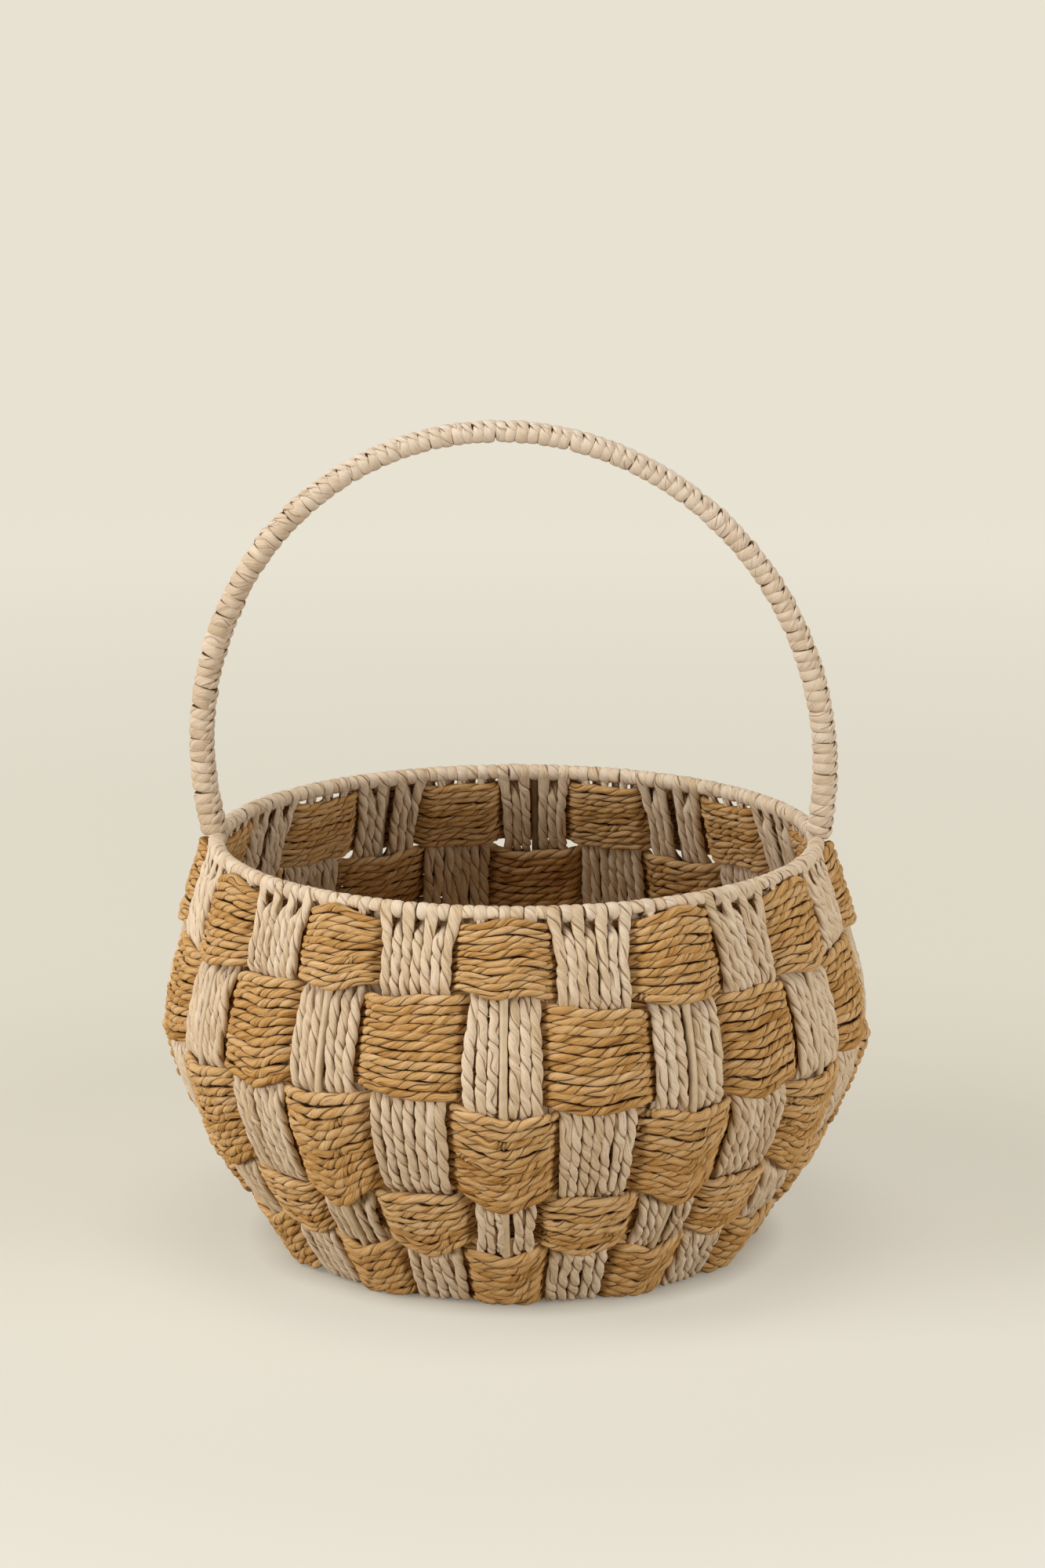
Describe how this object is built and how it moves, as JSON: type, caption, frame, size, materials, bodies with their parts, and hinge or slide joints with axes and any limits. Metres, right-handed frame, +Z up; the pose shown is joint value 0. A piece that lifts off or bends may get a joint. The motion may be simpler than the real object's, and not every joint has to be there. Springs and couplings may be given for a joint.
{
  "type": "treat basket",
  "caption": "Round bulging basket woven from two colours of paper cord on a wire cage, open at the top, with a fixed tall arched handle wrapped in cord.",
  "frame": {"origin": "middle of the flat underside that the basket stands on", "axes": "+Z up, -Y towards the front of the picture, the handle's arch in the XZ plane"},
  "size_m": [0.2548, 0.2548, 0.2983],
  "materials": {
    "painted_wire": "smooth satin beige paint",
    "cream_paper_cord": "matt twisted paper cord, cream",
    "wrapping_paper_cord": "matt twisted paper cord, warm cream",
    "tan_paper_cord": "matt twisted paper cord, tan"
  },
  "bodies": {
    "root": {"rim_hoop": "painted_wire", "base_hoop": "painted_wire", "rib_01": "painted_wire", "rib_02": "painted_wire", "rib_03": "painted_wire", "rib_04": "painted_wire", "rib_05": "painted_wire", "rib_06": "painted_wire", "rib_07": "painted_wire", "rib_08": "painted_wire", "rib_09": "painted_wire", "rib_10": "painted_wire", "rib_11": "painted_wire", "rib_12": "painted_wire", "handle_rod": "painted_wire", "handle_wrap": "wrapping_paper_cord", "rim_wrap_front": "cream_paper_cord", "rim_wrap_back": "cream_paper_cord", "warp_01": "cream_paper_cord", "warp_02": "cream_paper_cord", "warp_03": "cream_paper_cord", "warp_04": "cream_paper_cord", "warp_05": "cream_paper_cord", "warp_06": "cream_paper_cord", "warp_07": "cream_paper_cord", "warp_08": "cream_paper_cord", "warp_09": "cream_paper_cord", "warp_10": "cream_paper_cord", "warp_11": "cream_paper_cord", "warp_12": "cream_paper_cord", "warp_13": "cream_paper_cord", "warp_14": "cream_paper_cord", "warp_15": "cream_paper_cord", "warp_16": "cream_paper_cord", "warp_17": "cream_paper_cord", "warp_18": "cream_paper_cord", "warp_19": "cream_paper_cord", "warp_20": "cream_paper_cord", "warp_21": "cream_paper_cord", "warp_22": "cream_paper_cord", "warp_23": "cream_paper_cord", "warp_24": "cream_paper_cord", "weft_1": "tan_paper_cord", "weft_2": "tan_paper_cord", "weft_3": "tan_paper_cord", "weft_4": "tan_paper_cord", "weft_5": "tan_paper_cord", "base_band_01": "tan_paper_cord", "base_band_02": "tan_paper_cord", "base_band_03": "tan_paper_cord", "base_band_04": "tan_paper_cord", "base_band_05": "tan_paper_cord", "base_band_06": "tan_paper_cord", "base_band_07": "tan_paper_cord", "base_band_08": "tan_paper_cord", "base_band_09": "tan_paper_cord", "base_band_10": "tan_paper_cord", "base_band_11": "tan_paper_cord", "base_band_12": "tan_paper_cord"}
  },
  "joints": []
}
